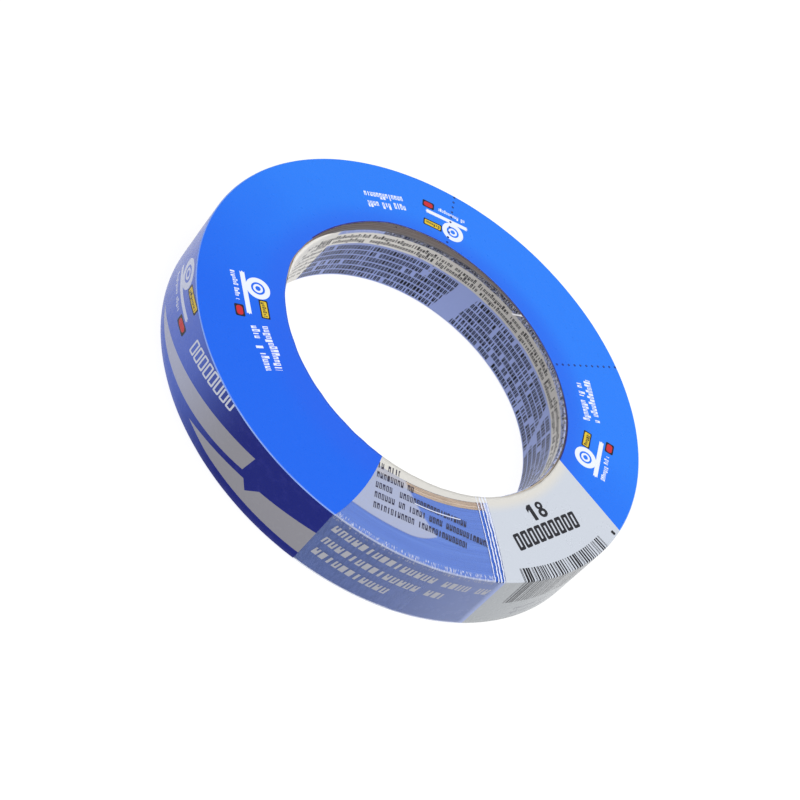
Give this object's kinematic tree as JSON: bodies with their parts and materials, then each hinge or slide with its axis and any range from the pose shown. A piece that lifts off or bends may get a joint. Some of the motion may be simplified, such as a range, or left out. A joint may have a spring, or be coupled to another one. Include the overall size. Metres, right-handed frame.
{
  "type": "masking tape roll",
  "caption": "Narrow roll of blue painter's masking tape on a paperboard core, in a printed film wrapper with a clear window and a tear-off panel.",
  "frame": {"origin": "centre of the wrapped roll's lower face, on the roll's axis", "axes": "+Z along the roll's axis towards the face that carries the window; +Y towards the tear-off panel, away from the window"},
  "size_m": [0.1196, 0.1196, 0.0182],
  "materials": {
    "core_liner": "matte",
    "core_board": "matte",
    "tape": "matte",
    "wrapper_film": "gloss"
  },
  "bodies": {
    "roll": {"core_liner_ply": "core_liner", "core_body_ply_1": "core_board", "core_body_ply_2": "core_board", "core_body_ply_3": "core_board", "core_body_ply_4": "core_board", "core_outer_ply": "core_board", "tape_winding": "tape"},
    "wrapper": {"wrapper_sleeve": "wrapper_film", "wrapper_tear_panel": "wrapper_film"}
  },
  "joints": [
    {"name": "wrapper_turn", "type": "hinge", "parent": "roll", "child": "wrapper", "pos_m": [0, 0, 0.0091], "axis": [0, 0, 1], "continuous": true}
  ]
}
